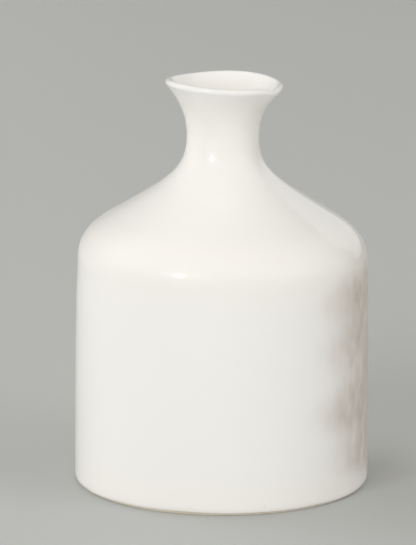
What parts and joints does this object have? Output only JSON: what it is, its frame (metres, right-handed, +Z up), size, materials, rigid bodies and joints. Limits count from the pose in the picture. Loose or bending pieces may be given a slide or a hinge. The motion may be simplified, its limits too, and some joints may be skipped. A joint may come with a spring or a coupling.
{
  "type": "bud vase",
  "caption": "Small bottle-shaped ceramic bud vase with a straight body, sloping shoulder, narrow waisted neck and flared lip, made to hold a single stem in water.",
  "frame": {"origin": "middle of the foot, on the plane that the vase stands on", "axes": "+Z up along the vase's axis, -Y towards the viewer of the front, +X to the viewer's right"},
  "size_m": [0.0922, 0.0922, 0.1279],
  "materials": {
    "bare_clay": "unglazed, matte",
    "white_glaze": "warm white gloss glaze",
    "lining_glaze": "grey-white satin glaze"
  },
  "bodies": {
    "root": {"foot_ring": "bare_clay", "base_floor": "bare_clay", "body_wall": "bare_clay", "shoulder": "bare_clay", "neck": "bare_clay", "lip": "bare_clay", "outer_glaze": "white_glaze", "inner_glaze": "lining_glaze"}
  },
  "joints": []
}
